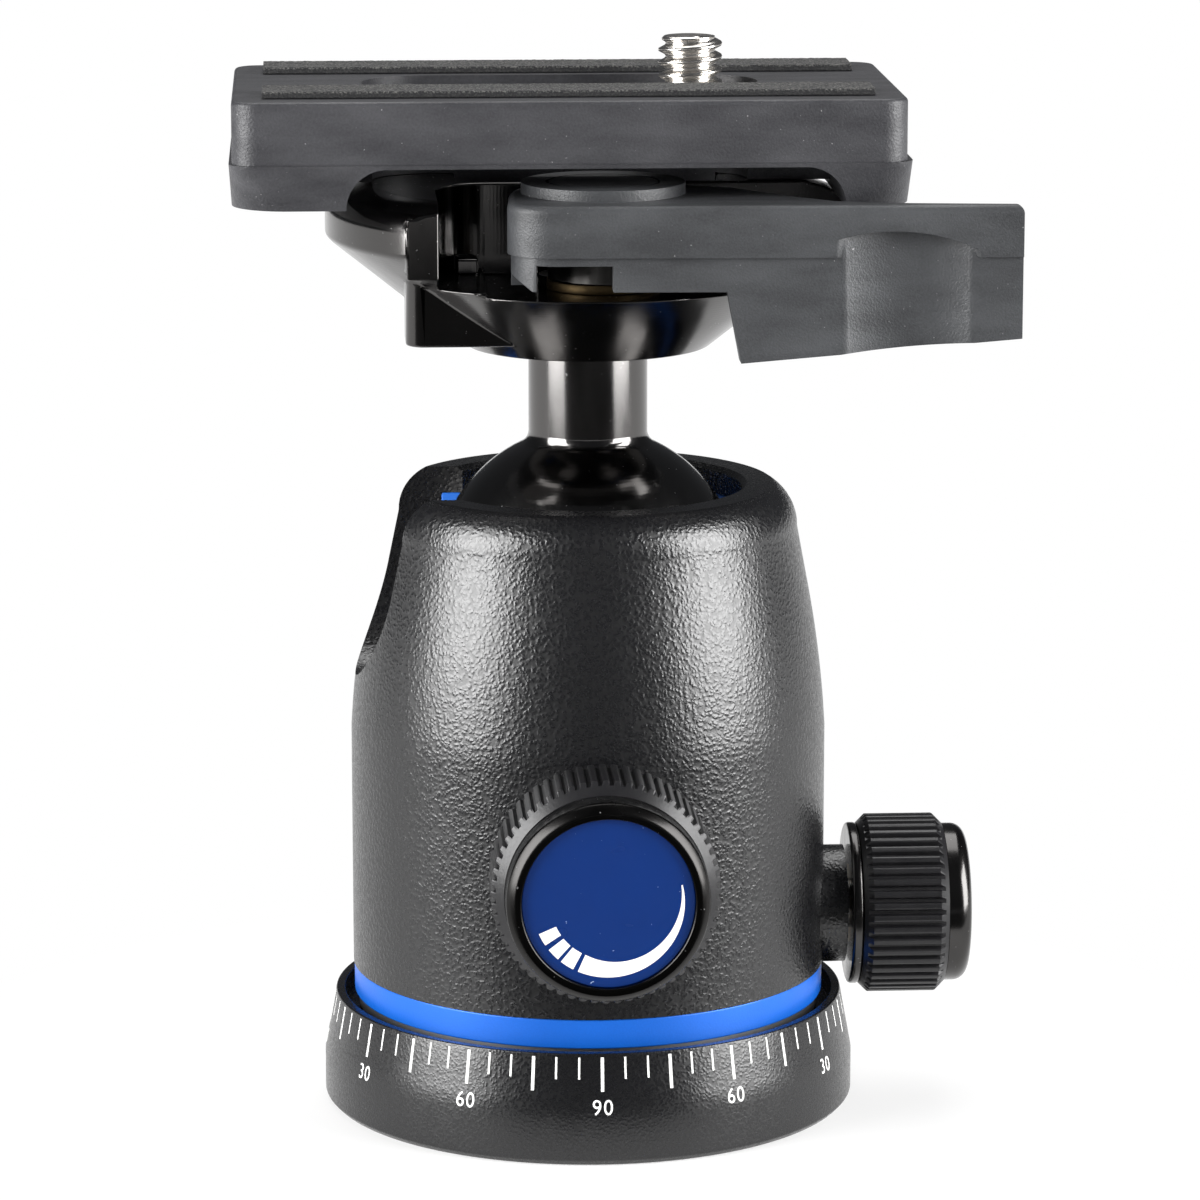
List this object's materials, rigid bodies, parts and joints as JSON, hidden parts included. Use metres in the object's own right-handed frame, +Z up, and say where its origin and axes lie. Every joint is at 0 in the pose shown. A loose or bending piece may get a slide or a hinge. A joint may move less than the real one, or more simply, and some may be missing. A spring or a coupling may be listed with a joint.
{
  "type": "tripod ball head",
  "caption": "Compact tripod ball head with a panning base and scale, two lock knobs, a drop notch, and a lever clamp holding a camera plate with a screw.",
  "frame": {"origin": "centre of the tripod socket at the base's underside", "axes": "+Z up through the ball and stem, -Y towards the ball lock knob and the 90 mark, +X towards the panning lock knob"},
  "size_m": [0.0756, 0.0638, 0.1075],
  "materials": {
    "black_wrinkle_paint": "fine black wrinkle powder coat",
    "gloss_black_anodised": "gloss black anodised, machined",
    "black_knob_metal": "black anodised, cut teeth",
    "blue_anodised": "bright blue anodised",
    "blue_badge": "satin blue disc with a printed white arc",
    "blue_plastic": "blue moulded seat",
    "dark_plastic": "dark grey glass-filled moulding",
    "lever_plastic": "dark grey moulding, worn smooth",
    "strip_rubber": "black cork-grained rubber",
    "bright_steel": "bright plated steel",
    "plain_steel": "turned steel",
    "brass": "turned brass",
    "alloy": "plain machined alloy",
    "nylon": "white low-friction plastic"
  },
  "bodies": {
    "base": {"scale_base": "gloss_black_anodised", "base_screws": "plain_steel", "pan_spindle": "plain_steel", "tripod_bush": "brass", "base_thrust_washer": "nylon", "brake_drum": "plain_steel", "drum_thrust_washer": "nylon"},
    "housing": {"ball_housing": "black_wrinkle_paint", "blue_ring": "blue_anodised", "housing_floor": "alloy", "floor_screws": "plain_steel", "wedge_plate": "plain_steel", "upper_seat": "blue_plastic", "main_bush": "brass", "pan_bush": "brass", "wedge_spring": "plain_steel"},
    "main_knob": {"main_grip": "black_knob_metal", "main_ring": "gloss_black_anodised", "main_badge": "blue_badge", "main_screw": "plain_steel"},
    "wedge": {"lock_wedge": "plain_steel"},
    "lifter": {"seat_lifter": "alloy"},
    "pan_knob": {"pan_flange": "gloss_black_anodised", "pan_grip": "black_knob_metal", "pan_cap": "gloss_black_anodised", "pan_screw": "plain_steel"},
    "brake": {"pan_brake_shoe": "brass"},
    "seat": {"lower_seat": "blue_plastic"},
    "ball": {"ball_stem": "gloss_black_anodised"},
    "clamp": {"clamp_body": "gloss_black_anodised", "clamp_bolt": "plain_steel", "pivot_pin": "plain_steel", "pivot_washer": "brass"},
    "jaw": {"clamp_jaw": "alloy"},
    "lever": {"clamp_lever": "lever_plastic", "lever_cam": "plain_steel", "lever_cap": "lever_plastic"},
    "plate": {"plate_body": "dark_plastic", "front_pad": "strip_rubber", "rear_pad": "strip_rubber"},
    "washer": {"screw_washer": "bright_steel"},
    "screw": {"camera_screw": "bright_steel"}
  },
  "joints": [
    {"name": "pan", "type": "hinge", "parent": "base", "child": "housing", "pos_m": [0, 0, 0.015], "axis": [0, 0, 1], "continuous": true},
    {"name": "main_knob_turn", "type": "hinge", "parent": "wedge", "child": "main_knob", "pos_m": [0, -0.024, 0.0291], "axis": [0, -1, 0], "range_deg": [0, 360]},
    {"name": "wedge_slide", "type": "slide", "parent": "housing", "child": "wedge", "axis": [0, -1, 0], "range_m": [0, 0.001]},
    {"name": "lifter_slide", "type": "slide", "parent": "housing", "child": "lifter", "axis": [0, 0, -1], "range_m": [0, 0.0003]},
    {"name": "pan_knob_turn", "type": "hinge", "parent": "brake", "child": "pan_knob", "pos_m": [0.026, 0, 0.0191], "axis": [1, 0, 0], "range_deg": [0, 180]},
    {"name": "brake_slide", "type": "slide", "parent": "housing", "child": "brake", "axis": [1, 0, 0], "range_m": [0, 0.0004]},
    {"name": "ball_azimuth", "type": "hinge", "parent": "housing", "child": "seat", "pos_m": [0, 0, 0.053], "axis": [0, 0, 1], "range_deg": [0, 360]},
    {"name": "ball_tilt", "type": "hinge", "parent": "seat", "child": "ball", "pos_m": [0, 0, 0.053], "axis": [0, 1, 0], "range_deg": [-90, 35]},
    {"name": "ball_spin", "type": "hinge", "parent": "ball", "child": "clamp", "pos_m": [0, 0, 0.077], "axis": [0, 0, 1], "continuous": true},
    {"name": "lever_turn", "type": "hinge", "parent": "clamp", "child": "lever", "pos_m": [0.0009, -0.011, 0.09], "axis": [0, 0, 1], "range_deg": [-60, 0]},
    {"name": "jaw_slide", "type": "slide", "parent": "clamp", "child": "jaw", "axis": [0, 1, 0], "range_m": [-0.0012, 0]},
    {"name": "plate_lift", "type": "slide", "parent": "clamp", "child": "plate", "axis": [0, 0, 1], "range_m": [0, 0.02]},
    {"name": "screw_slide", "type": "slide", "parent": "plate", "child": "washer", "axis": [1, 0, 0], "range_m": [-0.0257, 0]},
    {"name": "camera_screw_turn", "type": "hinge", "parent": "washer", "child": "screw", "pos_m": [0.0101, 0, 0.1], "axis": [0, 0, 1], "continuous": true}
  ],
  "couplings": [
    {"joint": "main_knob_turn", "follows": "wedge_slide", "rad_per_m": 6283.1},
    {"joint": "lifter_slide", "follows": "wedge_slide", "ratio": 0.3},
    {"joint": "pan_knob_turn", "follows": "brake_slide", "rad_per_m": 7853.9},
    {"joint": "lever_turn", "follows": "jaw_slide", "rad_per_m": 872.66}
  ]
}
